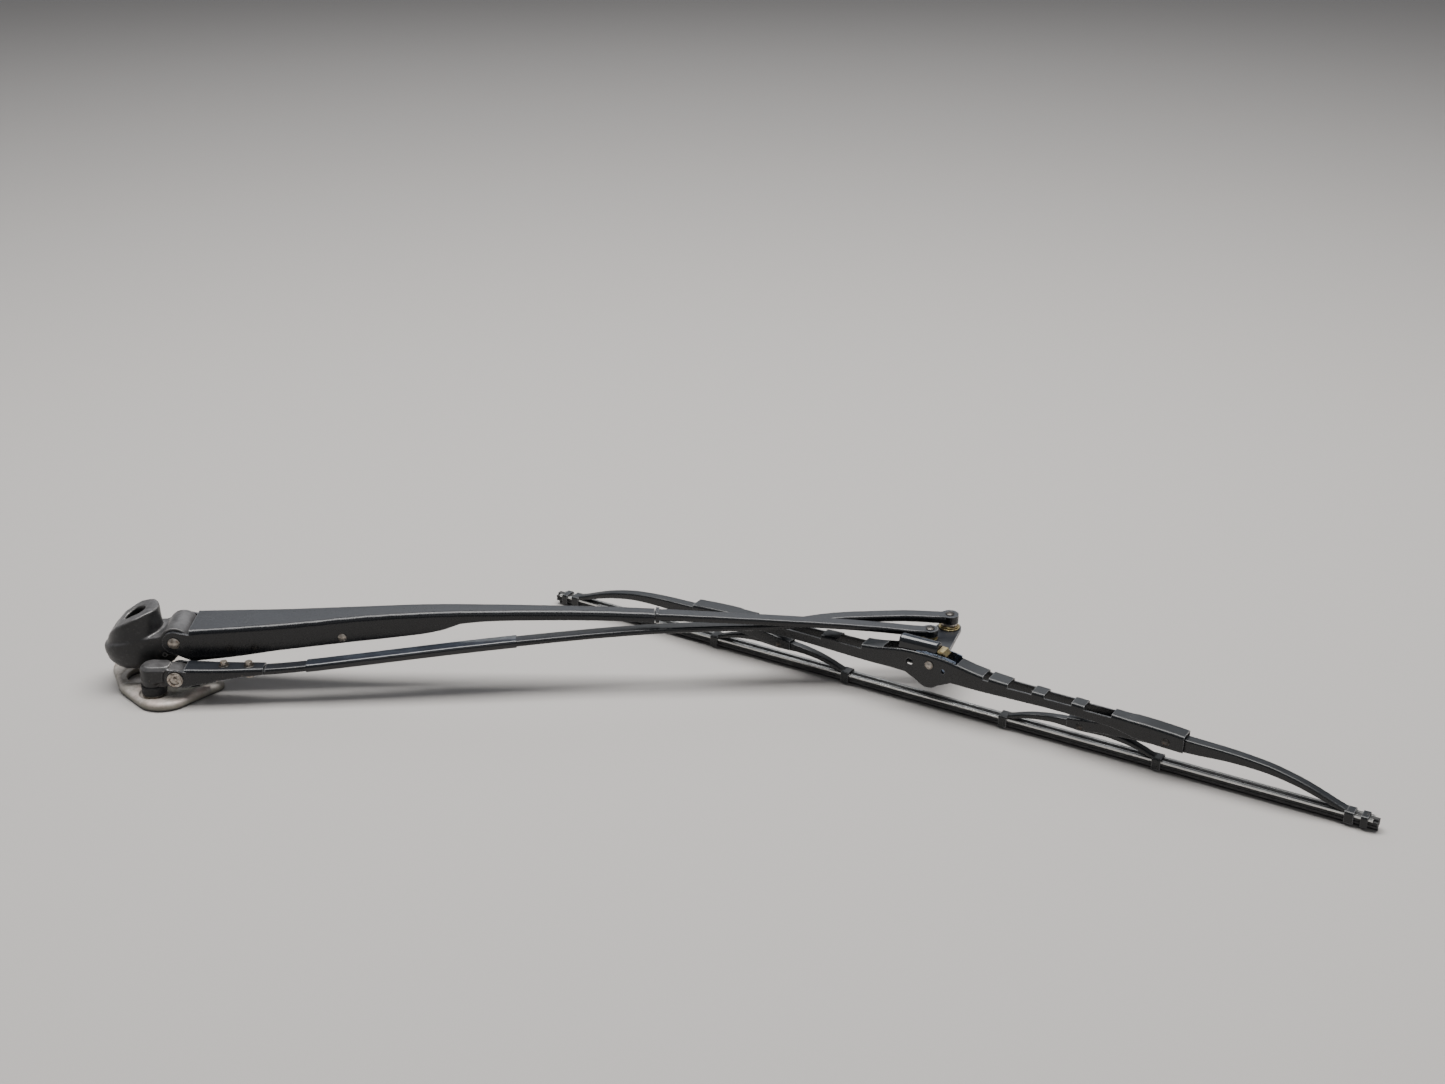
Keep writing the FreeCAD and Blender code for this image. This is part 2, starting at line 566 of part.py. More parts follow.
def anchor_pin():
    return rod_y(*ANCHOR, -NECK_HALF + 0.3, NECK_HALF - 0.3, 1.8)


# ---- coupler between the two arms and the blade ----
def to_world(shape):
    """Takes a piece drawn along the blade (x along it, y across it) to its place."""
    moved = shape.copy()
    moved.rotate(V(0, 0, 0), V(0, 0, 1), BLADE_ANGLE)
    moved.translate(V(BLADE_CENTRE[0], BLADE_CENTRE[1], 0))
    return moved


def blade_point(x, y):
    angle = math.radians(BLADE_ANGLE)
    return (BLADE_CENTRE[0] + x * math.cos(angle) - y * math.sin(angle),
            BLADE_CENTRE[1] + x * math.sin(angle) + y * math.cos(angle))


def coupler_plate():
    floor = COUPLER_TOP - COUPLER_SHEET
    discs = [FAR_PIVOT + (9.5,), NEAR_PIVOT + (8.0,)]
    discs += [blade_point(-13, FLANGE_Y + 1.4) + (1.4,), blade_point(9, FLANGE_Y + 1.4) + (1.4,)]
    sheet = hull_solid(discs, floor, COUPLER_TOP)
    back = FLANGE_Y + FLANGE_SHEET
    flange = block(-13.5, 14.5, FLANGE_Y, back, floor, 39.5)
    nose = rod_y(PIN_ALONG, PIN_HEIGHT, FLANGE_Y, back, 7.2)
    shoulder = prism_xz([(-13.5, 39.4), (14.5, 39.4), (PIN_ALONG + 4.4, 44.6), (PIN_ALONG - 4.4, 44.6)],
                        FLANGE_Y, back)
    plate = join([sheet, to_world(join([flange, nose, shoulder]))])
    head_relief = to_world(rod_y(PIN_ALONG, PIN_HEIGHT, back, back + 2.6, 4.0))
    lightening = blade_point(-2, 27)
    for tool in (rod_z(*FAR_PIVOT, 20, 60, PIVOT_R + GAP), rod_z(*NEAR_PIVOT, 20, 60, PIVOT_R + GAP),
                 rod_z(*lightening, 20, 60, 2.6),
                 to_world(rod_y(PIN_ALONG, PIN_HEIGHT, 0, back + 1, SIDE_PIN_R + GAP)), head_relief):
        plate = plate.cut(tool)
    return plate


def far_discs():
    x, y = FAR_PIVOT
    base = COUPLER_TOP + GAP
    top = FAR_EYE_TOP - FAR_EYE - 0.05
    levels = [(base, base + 1.2, 8.4), (base + 1.3, base + 2.6, 7.2)]
    return [ring_z(x, y, z0, z1, radius, PIVOT_R + GAP) for z0, z1, radius in levels]


def far_bush():
    return ring_z(*FAR_PIVOT, COUPLER_TOP + 2.7, FAR_EYE_TOP - FAR_EYE - 0.05, 6.4, PIVOT_R + GAP)


def near_bush():
    return [ring_z(*NEAR_PIVOT, COUPLER_TOP + GAP, COUPLER_TOP + 1.6, 6.2, PIVOT_R + GAP),
            ring_z(*NEAR_PIVOT, COUPLER_TOP + 1.7, NEAR_EYE_TOP - NEAR_EYE - 0.05, 5.4, PIVOT_R + GAP)]


def pivot_rivet(pivot, eye_top):
    x, y = pivot
    floor = COUPLER_TOP - COUPLER_SHEET
    return join([rod_z(x, y, floor - 0.4, eye_top + 0.4, PIVOT_R),
                 rod_z(x, y, eye_top + 0.05, eye_top + 0.5, 3.5),
                 dome_z(x, y, eye_top + 0.45, 3.5, 1.0), dome_z(x, y, floor - GAP, 4.4, -1.7)])


def side_pin():
    half = BRIDGE_STATIONS[0][1] / 2.0
    back = FLANGE_Y + FLANGE_SHEET
    x, z = PIN_ALONG, PIN_HEIGHT
    pin = join([rod_y(x, z, -half - 0.4, back + 0.4, SIDE_PIN_R), rod_y(x, z, -half - 0.8, -half - 0.1, 3.3),
                dome_y(x, z, -half - 0.7, 3.3, -1.5), dome_y(x, z, back + GAP, 3.6, 1.4)])
    return to_world(pin)


# ---- blade frame ----
BRIDGE_MOUTH = (-34.0, 28.0)
BRIDGE_WINDOWS = [(-74.0, -52.0), (-119.0, -88.0), (-151.0, -130.0), (50.0, 54.5), (70.0, 89.0),
                  (99.0, 120.0), (130.0, 151.0)]


def mirrored(stations, centre=0.0):
    left = [(2 * centre - s[0],) + tuple(s[1:]) for s in reversed(stations) if s[0] > centre]
    return left + list(stations)


def primary_bridge():
    stations = mirrored(BRIDGE_STATIONS)
    end = BRIDGE_STATIONS[-1][0]
    xs = steps(-end, -168, 7) + steps(-164, 164, 7) + steps(168, end, 7)
    bridge = straight_channel(stations, xs, BLADE_SHEET, 2.4)
    half = BRIDGE_STATIONS[0][1] / 2.0
    shoulders = [(-14, 33), (-14, 28.3), (-3.2, 23.0), (13.2, 23.0), (24, 28.3), (24, 33)]
    lobes = []
    for side in (-1, 1):
        y0, y1 = sorted((side * half, side * (half - BLADE_SHEET)))
        lobes.append(rod_y(5, 30.6, y0, y1, 11.2))
        lobes.append(prism_xz(shoulders, y0, y1))
    bridge = join([bridge] + lobes)
    inner = half - BLADE_SHEET
    bridge = bridge.cut(block(*BRIDGE_MOUTH, -inner, inner, 30, 60))
    for x0, x1 in BRIDGE_WINDOWS:
        top = min(eased(stations, 3, x) for x in (x0, x1)) - 2.4
        bridge = bridge.cut(block(x0, x1, -20, 20, top, 60))
    holes = [rod_y(PIN_ALONG, PIN_HEIGHT, -20, 20, SIDE_PIN_R + RUN), rod_y(-10.5, 37.5, -20, 0, 2.9),
             rod_y(17.5, 36.5, -20, 0, 1.8)]
    hx, hz = HOOD_RIVET
    for side in (-1, 1):
        holes.append(rod_y(side * hx, hz, -20, 20, 2.0 + GAP))
    for hole in holes:
        bridge = bridge.cut(hole)
    return to_world(bridge)


def adapter_block():
    """The moulded block that fills the bridge round the side pin."""
    rows = [bar_profile(9.2, 21.4, 54.8, 4.4), bar_profile(11.2, 23.0, 55.8, 5.5)]
    body = loft([section(x, 0, 0, rows[k]) for x, k in ((-21.6, 0), (-20.4, 1), (9.4, 1), (10.6, 0))])
    return to_world(body.cut(rod_y(PIN_ALONG, PIN_HEIGHT, -20, 20, SIDE_PIN_R + RUN)))


def adapter_bracket():
    """Plated steel cheeks between the block and the bridge, their top edges standing proud."""
    outline = [(-6, 36), (-6, 47.6), (0, 48.8), (10, 48.6), (20, 47.6), (27, 46.2), (27, 38), (20, 33),
               (0, 33)]
    cheeks = []
    for side in (-1, 1):
        cheek = prism_xz(outline, *sorted((side * 5.7, side * 6.5)))
        cheeks.append(cheek.cut(rod_y(PIN_ALONG, PIN_HEIGHT, -20, 20, SIDE_PIN_R + RUN)))
    tie = block(20, 26.5, -6, 6, 33.2, 34.2).fuse(block(20, 26.5, -6.2, 6.2, 34, 36))
    tie = tie.cut(block(19, 28, -5.2, 5.2, 34.2, 37))
    return to_world(join(cheeks + [tie]))


def adapter_clip():
    """The plated spring clip standing in the bridge beside the block."""
    back = block(11.0, 12.2, -4.6, 4.6, 35, 51.0)
    legs = [prism_xz([(12.1, 35), (16, 37), (17.4, 41), (14.6, 46), (13.6, 50), (12.1, 51.0)], y, y + 1.1)
            for y in (-4.6, 3.5)]
    curl = [(12.1, 49.9), (15, 49.5), (17.2, 47.1), (18.2, 47.4), (15.6, 50.7), (12.1, 51.0)]
    hook = prism_xz(curl, -4.6, 4.6)
    return to_world(join([back, hook] + legs))


def hood_rivets():
    hx, hz = HOOD_RIVET
    half = 7.3
    rivets = []
    for side in (-1, 1):
        shank = rod_y(side * hx, hz, -half - 0.3, half + 0.3, 2.0)
        heads = [dome_y(side * hx, hz, s * (half + 0.06), 3.2, s * 1.2) for s in (-1, 1)]
        rivets.append(to_world(join([shank] + heads)))
    return rivets


def hood_bushes():
    hx, hz = HOOD_RIVET
    return [to_world(ring_y(side * hx, hz, min(s * 4.8, s * 5.9), max(s * 4.8, s * 5.9), 4.2, 2.0 + RUN))
            for side in (-1, 1) for s in (-1, 1)]


def grip(x0, x1, top, wall, roof):
    """A roof, two walls and turned-in lips round the rails and rubber."""
    outline = rounded_box(CLAW_HALF, CLAW_BOTTOM, top, 1.6)
    outer = loft([section(x0, 0, 0, outline), section(x1, 0, 0, outline)])
    inner_half = CLAW_HALF - wall
    inner = block(x0 - 1, x1 + 1, -inner_half, inner_half, CLAW_BOTTOM + 0.8, top - roof)
    mouth = block(x0 - 1, x1 + 1, -2.4, 2.4, CLAW_BOTTOM - 1, CLAW_BOTTOM + 2)
    return outer.cut(inner).cut(mouth)


def claw(x):
    half = CLAW_LENGTH / 2.0
    return grip(x - half, x + half, CLAW_TOP, 0.7, 0.9)


def secondary(side):
    """side is -1 for the left half of the blade and 1 for the right half."""
    stations = SECONDARY_STATIONS
    xs = steps(stations[0][0], 316, 7) + [stations[-1][0]]
    body = straight_channel(stations, xs, 0.95, 1.5)
    end = CLAW_AT[2]
    piece = join([body, claw(end)])
    hx, hz = HOOD_RIVET
    piece = piece.cut(rod_y(hx, hz, -20, 20, 2.0 + RUN))
    piece = piece.cut(rod_y(*YOKE_RIVET, -20, 20, 1.5 + GAP))
    if side < 0:
        piece = piece.mirror(V(0, 0, 0), V(1, 0, 0))
    return to_world(piece)


def yoke(side):
    stations = mirrored(YOKE_STATIONS)
    end = YOKE_STATIONS[-1][0]
    body = straight_channel(stations, steps(-end, end, 5.8), 0.9, 1.3)
    body.translate(V(YOKE_RIVET[0], 0, 0))
    piece = join([body, claw(CLAW_AT[0]), claw(CLAW_AT[1])])
    piece = piece.cut(rod_y(*YOKE_RIVET, -20, 20, 1.5 + RUN))
    if side < 0:
        piece = piece.mirror(V(0, 0, 0), V(1, 0, 0))
    return to_world(piece)


def yoke_rivet(side):
    x, z = YOKE_RIVET
    half = SECONDARY_STATIONS[1][1] / 2.0
    shank = rod_y(side * x, z, -half - 0.3, half + 0.3, 1.5)
    heads = [dome_y(side * x, z, s * (half + 0.05), 2.7, s * 1.1) for s in (-1, 1)]
    return to_world(join([shank] + heads))


# ---- wiping element ----
def extruded(profile, x0, x1):
    points = [V(x0, y, z) for y, z in profile]
    return Part.Face(Part.makePolygon(points + points[:1])).extrude(V(x1 - x0, 0, 0))


def wiper_rubber():
    half = [(0.35, 0), (0.7, 1.6), (1.3, 2.8), (3.7, 3.0), (4.3, 3.5), (4.3, 4.9), (3.7, 5.2), (3.7, 5.6),
            (4.3, 5.9), (4.3, 7.75), (1.9, 7.75), (1.9, 9.0), (1.5, RUBBER_TOP)]
    profile = half + [(-y, z) for y, z in reversed(half)]
    return to_world(extruded(profile, -BLADE_LENGTH / 2, BLADE_LENGTH / 2))


def rails():
    strips = []
    for s in (-1, 1):
        profile = [(s * 1.95, 7.8), (s * 4.5, 7.8), (s * 4.5, 8.9), (s * 4.3, 9.2), (s * 1.95, 9.2)]
        strips.append(to_world(extruded(profile, -RAIL_HALF_LENGTH, RAIL_HALF_LENGTH)))
    return strips


def end_stops():
    """Small crimped stops that keep the rails from sliding out."""
    stops = []
    for side in (-1, 1):
        x0, x1 = sorted((side * 333.0, side * 338.0))
        stops.append(to_world(grip(x0, x1, CLAW_TOP - 0.4, 0.75, 0.7)))
    return stops


os.makedirs("parts", exist_ok=True)
save("pivot_plate", [pivot_plate()])
save("swivel_post", [swivel_post()])
save("post_washer", [post_washer()])
save("control_knuckle", [control_knuckle()])
save("post_bush", [post_bush()])
save("dust_collar", [dust_collar()])
save("control_fork", [control_fork()])
save("fork_screws", fork_screws())
save("fork_washers", fork_washers())
save("control_hinge_rivet", [control_hinge_rivet()])
save("control_bar", [control_bar()])
save("control_sleeve", [control_sleeve()])
save("main_channel", [main_channel()])
save("spring_pin", [spring_pin()])
save("tension_spring", [tension_spring()])
save("spring_link", [spring_link()])
save("main_bar", [main_bar()])
save("crimp_band", [crimp_band()])
save("main_hinge_rivet", [main_hinge_rivet()])
save("main_head", [main_head()])
save("spindle_insert", [spindle_insert()])
save("anchor_pin", [anchor_pin()])
save("coupler_plate", [coupler_plate()])
save("far_pivot_discs", far_discs())
save("far_pivot_bush", [far_bush()])
save("near_pivot_bush", near_bush())
save("far_pivot_rivet", [pivot_rivet(FAR_PIVOT, FAR_EYE_TOP)])
save("near_pivot_rivet", [pivot_rivet(NEAR_PIVOT, NEAR_EYE_TOP)])
save("blade_side_pin", [side_pin()])
save("primary_bridge", [primary_bridge()])
save("adapter_block", [adapter_block()])
save("adapter_bracket", [adapter_bracket()])
save("adapter_clip", [adapter_clip()])
save("hood_rivets", hood_rivets())
save("hood_bushes", hood_bushes())
save("secondary_left", [secondary(-1)])
save("secondary_right", [secondary(1)])
save("yoke_left", [yoke(-1)])
save("yoke_right", [yoke(1)])
save("yoke_rivet_left", [yoke_rivet(-1)])
save("yoke_rivet_right", [yoke_rivet(1)])
save("wiper_rubber", [wiper_rubber()])
save("backing_rails", rails())
save("rail_end_stops", end_stops())
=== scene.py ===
import json
import math

import bmesh
import bpy
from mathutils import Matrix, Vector


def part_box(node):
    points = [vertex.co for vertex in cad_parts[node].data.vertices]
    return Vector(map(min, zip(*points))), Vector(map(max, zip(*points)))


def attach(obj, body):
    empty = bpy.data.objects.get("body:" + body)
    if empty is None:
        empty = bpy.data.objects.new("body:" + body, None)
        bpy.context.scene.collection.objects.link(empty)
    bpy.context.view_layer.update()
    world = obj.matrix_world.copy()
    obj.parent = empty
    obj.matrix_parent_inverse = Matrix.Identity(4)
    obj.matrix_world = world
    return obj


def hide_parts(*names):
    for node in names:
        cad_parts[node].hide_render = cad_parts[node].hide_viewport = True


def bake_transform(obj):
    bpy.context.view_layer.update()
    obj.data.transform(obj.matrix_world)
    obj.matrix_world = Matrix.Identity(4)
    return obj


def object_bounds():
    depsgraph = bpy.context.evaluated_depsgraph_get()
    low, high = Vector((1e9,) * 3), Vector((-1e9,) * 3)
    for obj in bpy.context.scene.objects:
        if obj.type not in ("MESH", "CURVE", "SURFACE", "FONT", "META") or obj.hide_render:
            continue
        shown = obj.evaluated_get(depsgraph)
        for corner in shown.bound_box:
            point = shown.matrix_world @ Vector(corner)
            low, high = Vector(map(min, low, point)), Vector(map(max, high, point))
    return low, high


# Looks of a two-arm windshield wiper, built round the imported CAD. Metres.
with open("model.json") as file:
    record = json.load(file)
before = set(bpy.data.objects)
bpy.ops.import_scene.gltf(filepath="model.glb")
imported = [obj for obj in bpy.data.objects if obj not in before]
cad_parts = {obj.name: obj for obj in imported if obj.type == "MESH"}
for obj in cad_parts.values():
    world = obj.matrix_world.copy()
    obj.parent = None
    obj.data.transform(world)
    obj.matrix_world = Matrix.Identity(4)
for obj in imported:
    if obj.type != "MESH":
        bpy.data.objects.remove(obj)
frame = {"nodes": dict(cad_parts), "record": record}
cad_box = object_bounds()
MM = 0.001


# ---- node helpers ----
class Shader:
    """A material's node tree, with short calls for the nodes used here."""

    def __init__(self, name):
        self.material = bpy.data.materials.new(name)
        self.material.use_nodes = True
        self.tree = self.material.node_tree
        self.tree.nodes.clear()
        self.output = self.node("ShaderNodeOutputMaterial")
        self.surface = self.node("ShaderNodeBsdfPrincipled")
        self.link(self.surface.outputs[0], self.output.inputs["Surface"])
        self.position = self.node("ShaderNodeTexCoord").outputs["Object"]

    def node(self, kind, **settings):
        made = self.tree.nodes.new(kind)
        for key, value in settings.items():
            setattr(made, key, value)
        return made

    def link(self, source, target):
        self.tree.links.new(source, target)

    def feed(self, socket, value):
        if isinstance(value, bpy.types.NodeSocket):
            self.link(value, socket)
        else:
            socket.default_value = value

    def set(self, **values):
        for key, value in values.items():
            self.feed(self.surface.inputs[key.replace("_", " ")], value)

    def noise(self, size_mm, detail=3.0, rough=0.55, stretch=(1, 1, 1), distort=0.0):
        """Noise whose blobs are about size_mm across; returns its value."""
        mapping = self.node("ShaderNodeMapping")
        mapping.inputs["Scale"].default_value = stretch
        self.link(self.position, mapping.inputs["Vector"])
        texture = self.node("ShaderNodeTexNoise")
        self.link(mapping.outputs[0], texture.inputs["Vector"])
        texture.inputs["Scale"].default_value = 1.0 / (size_mm * MM)
        texture.inputs["Detail"].default_value = detail
        texture.inputs["Roughness"].default_value = rough
        texture.inputs["Distortion"].default_value = distort
        return texture.outputs[0]

    def ramp(self, value, low, high, out_low=0.0, out_high=1.0):
        """Moves value from the range low..high to out_low..out_high, clamped."""
        mapper = self.node("ShaderNodeMapRange", interpolation_type="SMOOTHSTEP")
        self.feed(mapper.inputs["Value"], value)
        for key, number in (("From Min", low), ("From Max", high), ("To Min", out_low), ("To Max", out_high)):
            mapper.inputs[key].default_value = number
        return mapper.outputs[0]

    def maths(self, operation, a, b):
        calc = self.node("ShaderNodeMath", operation=operation, use_clamp=True)
        self.feed(calc.inputs[0], a)
        self.feed(calc.inputs[1], b)
        return calc.outputs[0]

    def mix(self, factor, a, b):
        """Mixes two colours, each a socket or an (r, g, b) tuple."""
        mixer = self.node("ShaderNodeMix", data_type="RGBA")
        self.feed(mixer.inputs["Factor"], factor)
        for socket, colour in ((mixer.inputs[6], a), (mixer.inputs[7], b)):
            self.feed(socket, colour if isinstance(colour, bpy.types.NodeSocket) else (*colour, 1.0))
        return mixer.outputs[2]

    def facing_up(self, low=0.55, high=0.95):
        """1 on faces that look up, 0 on walls and undersides."""
        normal = self.node("ShaderNodeNewGeometry").outputs["Normal"]
        split = self.node("ShaderNodeSeparateXYZ")
        self.link(normal, split.inputs[0])
        return self.ramp(split.outputs["Z"], low, high)

    def edges(self, radius_mm, low=0.02, high=0.25):
        """1 along outside edges, where rubbed wear and painted edge highlights go."""
        rounded = self.node("ShaderNodeBevel", samples=4)
        rounded.inputs["Radius"].default_value = radius_mm * MM
        flat = self.node("ShaderNodeNewGeometry").outputs["Normal"]
        dot = self.node("ShaderNodeVectorMath", operation="DOT_PRODUCT")
        self.link(rounded.outputs[0], dot.inputs[0])
        self.link(flat, dot.inputs[1])
        bend = self.maths("SUBTRACT", 1.0, dot.outputs["Value"])
        return self.ramp(bend, low, high)

    def bump(self, height, strength, depth_mm):
        node = self.node("ShaderNodeBump")
        node.inputs["Strength"].default_value = strength
        node.inputs["Distance"].default_value = depth_mm * MM
        self.link(height, node.inputs["Height"])
        self.link(node.outputs[0], self.surface.inputs["Normal"])


# ---- materials ----
def painted_steel(name, paint, dust, gloss=0.24, dust_share=0.55, worn=(0.34, 0.34, 0.35), edge_share=0.6):
    """Glossy black paint: a fine grey bloom on top faces, edges lightened partly by rubbed wear and partly as
    a painted highlight, and a few chips.
    """
    s = Shader(name)
    cloud = s.noise(34, 4)
    speck = s.noise(1.4, 4, 0.65)
    streaks = s.noise(5, 4, 0.6, (0.12, 1, 1))
    up = s.maths("MULTIPLY", s.facing_up(), s.ramp(cloud, 0.25, 0.7, 0.62, 1.0))
    dusty = s.maths("MULTIPLY", s.maths("MULTIPLY", up, s.ramp(streaks, 0.3, 0.7, 0.7, 1.0)), dust_share)
    colour = s.mix(s.ramp(streaks, 0.35, 0.7), paint, tuple(c * 1.4 for c in paint))
    colour = s.mix(dusty, colour, dust)
    # Edges lightened towards the worn grey: partly rubbed wear, partly a painted edge highlight.
    edge_wear_and_highlight = s.maths("MULTIPLY", s.edges(1.1, 0.012, 0.16), s.ramp(s.noise(12, 4), 0.34, 0.62, 0.25, 1.0))
    colour = s.mix(s.maths("MULTIPLY", edge_wear_and_highlight, edge_share), colour, worn)
    field = s.ramp(s.noise(55, 2), 0.54, 0.62)
    chips = s.maths("MULTIPLY", s.ramp(s.noise(3.2, 5, 0.7), 0.67, 0.69), field)
    colour = s.mix(s.maths("MULTIPLY", chips, 0.8), colour, (0.26, 0.22, 0.19))
    s.set(Base_Color=colour, Metallic=s.maths("MULTIPLY", chips, 0.6), Specular_IOR_Level=0.5)
    rough = s.ramp(speck, 0.3, 0.8, gloss - 0.05, gloss + 0.10)
    s.set(Roughness=s.maths("ADD", rough, s.maths("MULTIPLY", dusty, 0.22)))
    s.bump(s.noise(0.8, 3), 0.10, 0.05)
    return s.material


def worn_casting(name, paint, skin):
    """Black casting worn to a cloudy lead grey on top, with a pitted skin and pale rims that are partly
    rubbed wear and partly a painted edge highlight.
    """
    s = Shader(name)
    cloud = s.noise(9, 6, 0.62, distort=0.6)
    fine = s.noise(2.2, 5, 0.7)
    pits = s.noise(0.8, 4, 0.65)
    worn = s.maths("MULTIPLY", s.facing_up(0.05, 0.75), s.ramp(cloud, 0.30, 0.62, 0.30, 1.0))
    colour = s.mix(s.maths("MULTIPLY", worn, 0.95), paint, skin)
    colour = s.mix(s.ramp(fine, 0.50, 0.72, 0.0, 0.55), colour, tuple(c * 0.45 for c in skin))
    # Pale rims: partly rubbed wear, partly a painted edge highlight.
    edge_wear_and_highlight = s.maths("MULTIPLY", s.edges(1.6, 0.008, 0.12), s.ramp(s.noise(4, 4), 0.34, 0.58, 0.35, 1.0))
    colour = s.mix(s.maths("MULTIPLY", edge_wear_and_highlight, 0.7), colour, (0.52, 0.50, 0.48))
    colour = s.mix(s.ramp(s.noise(3, 5, 0.7), 0.64, 0.7, 0.0, 0.6), colour, (0.16, 0.12, 0.09))
    s.set(Base_Color=colour, Metallic=s.maths("MULTIPLY", worn, 0.35), Specular_IOR_Level=0.55)
    s.set(Roughness=s.ramp(pits, 0.3, 0.75, 0.28, 0.52))
    s.bump(s.maths("ADD", s.maths("MULTIPLY", pits, 0.5), s.maths("MULTIPLY", fine, 0.5)), 0.35, 0.22)
    return s.material


def raw_alloy(name):
    """Unpainted cast alloy: warm grey and stained, with painted shade: darker and olive low down in the dish,
    near black at the base.
    """
    s = Shader(name)
    cloud = s.noise(11, 6, 0.7)
    stain = s.noise(8, 6, 0.75)
    colour = s.mix(s.ramp(cloud, 0.34, 0.64), (0.36, 0.33, 0.295), (0.56, 0.53, 0.50))
    colour = s.mix(s.ramp(s.noise(19, 4), 0.5, 0.66, 0.0, 0.4), colour, (0.48, 0.355, 0.32))
    colour = s.mix(s.ramp(stain, 0.48, 0.70, 0.0, 0.6), colour, (0.21, 0.18, 0.145))
    split = s.node("ShaderNodeSeparateXYZ")
    s.link(s.position, split.inputs[0])
    # Painted shade: darker and olive low down in the dish.
    low = s.ramp(split.outputs["Z"], 3.2 * MM, 6.2 * MM, 0.8, 0.0)
    colour = s.mix(low, colour, (0.20, 0.195, 0.16))
    # Painted shade: near black at the bottom edge and underside of the plate.
    base_shade = s.ramp(split.outputs["Z"], 0.6 * MM, 3.4 * MM, 0.9, 0.0)
    colour = s.mix(base_shade, colour, (0.035, 0.033, 0.03))
    s.set(Base_Color=colour, Metallic=0.25)
    s.set(Roughness=s.ramp(stain, 0.3, 0.7, 0.42, 0.66))
    s.bump(s.noise(0.9, 5, 0.7), 0.4, 0.2)
    return s.material


def bare_metal(name, colour, tarnish, rough=0.3, rust=0.0, streak=(1, 1, 1)):
    """Bare or plated metal with tarnish in blotches, fine scratches and optional rust."""
    s = Shader(name)
    blotch = s.noise(2.4, 4, 0.6)
    mixed = s.mix(s.ramp(blotch, 0.4, 0.68), colour, tarnish)
    if rust:
        spots = s.ramp(s.noise(1.7, 5, 0.7), 0.64 - 0.2 * rust, 0.70 - 0.2 * rust)
        mixed = s.mix(s.maths("MULTIPLY", spots, 0.8), mixed, (0.23, 0.09, 0.035))
    s.set(Base_Color=mixed, Metallic=0.9)
    s.set(Roughness=s.ramp(blotch, 0.3, 0.8, rough, rough + 0.25))
    s.bump(s.noise(0.5, 3, 0.6, streak), 0.12, 0.05)
    return s.material


def rail_steel(name):
    """Stainless rail strip: darker in blotches on its flat top than on its sides, bright along the edges,
    partly rubbed and partly a painted highlight.
    """
    s = Shader(name)
    mottle = s.noise(6, 4, 0.6, (0.25, 0.25, 1))
    top = s.ramp(mottle, 0.3, 0.7, 0.6, 0.95)
    # Darker on the flat top, in blotches, than on the sides.
    colour = s.mix(s.maths("MULTIPLY", s.facing_up(0.7, 0.98), top), (0.60, 0.60, 0.58), (0.10, 0.10, 0.10))
    # Bright edges: partly rubbed metal, partly a painted highlight along the rail.
    edge_wear_and_highlight = s.maths("MULTIPLY", s.edges(0.9, 0.004, 0.10), s.ramp(s.noise(16, 3), 0.3, 0.55, 0.5, 1.0))
    s.set(Base_Color=s.mix(edge_wear_and_highlight, colour, (0.90, 0.90, 0.87)), Metallic=0.7)
    s.set(Roughness=s.ramp(mottle, 0.3, 0.7, 0.22, 0.38))
    s.bump(s.noise(0.6, 3), 0.08, 0.04)
    return s.material


def moulded_plastic(name, colour, rough, tint=(0.05, 0.06, 0.08)):
    s = Shader(name)
    up = s.maths("MULTIPLY", s.facing_up(), s.ramp(s.noise(20, 4), 0.3, 0.7, 0.4, 1.0))
    s.set(Base_Color=s.mix(s.maths("MULTIPLY", up, 0.6), colour, tint), Specular_IOR_Level=0.55)
    s.set(Roughness=s.ramp(s.noise(3, 4), 0.3, 0.75, rough, rough + 0.14))
    s.bump(s.noise(0.6, 2), 0.08, 0.04)
    return s.material


def soft_rubber(name):
    s = Shader(name)
    dust = s.ramp(s.noise(9, 5, 0.65, (0.2, 1, 1)), 0.45, 0.75, 0.0, 0.35)
    s.set(Base_Color=s.mix(dust, (0.016, 0.016, 0.017), (0.10, 0.10, 0.095)))
    s.set(Roughness=s.ramp(s.noise(1.5, 3), 0.3, 0.7, 0.55, 0.78))
    s.bump(s.noise(0.5, 3), 0.15, 0.05)
    return s.material


MATERIALS = {
    "black_paint": painted_steel("black_paint", (0.003, 0.0036, 0.005), (0.026, 0.029, 0.037)),
    "blade_paint": painted_steel("blade_paint", (0.0035, 0.0045, 0.0055), (0.016, 0.019, 0.024),
                                 gloss=0.28, edge_share=0.5),
    "cast_black": worn_casting("cast_black", (0.008, 0.0082, 0.009), (0.115, 0.113, 0.116)),
    "cast_alloy": raw_alloy("cast_alloy"),
    "bare_steel": bare_metal("bare_steel", (0.46, 0.42, 0.37), (0.17, 0.14, 0.115), 0.30, rust=0.25),
    "bright_steel": rail_steel("bright_steel"),
    "blued_steel": bare_metal("blued_steel", (0.16, 0.20, 0.27), (0.035, 0.038, 0.045), 0.20, rust=0.2),
    "dark_steel": bare_metal("dark_steel", (0.085, 0.08, 0.075), (0.03, 0.028, 0.027), 0.30, rust=0.1),
    "spring_steel": bare_metal("spring_steel", (0.20, 0.19, 0.18), (0.08, 0.07, 0.06), 0.34, rust=0.3),
    "yellow_zinc": bare_metal("yellow_zinc", (0.46, 0.38, 0.19), (0.24, 0.20, 0.13), 0.30, rust=0.3),
    "bronze": bare_metal("bronze", (0.50, 0.34, 0.18), (0.20, 0.14, 0.08), 0.36),
    "black_plastic": moulded_plastic("black_plastic", (0.008, 0.009, 0.011), 0.09),
    "nylon": moulded_plastic("nylon", (0.03, 0.03, 0.032), 0.5),
    "black_rubber": soft_rubber("black_rubber"),
}


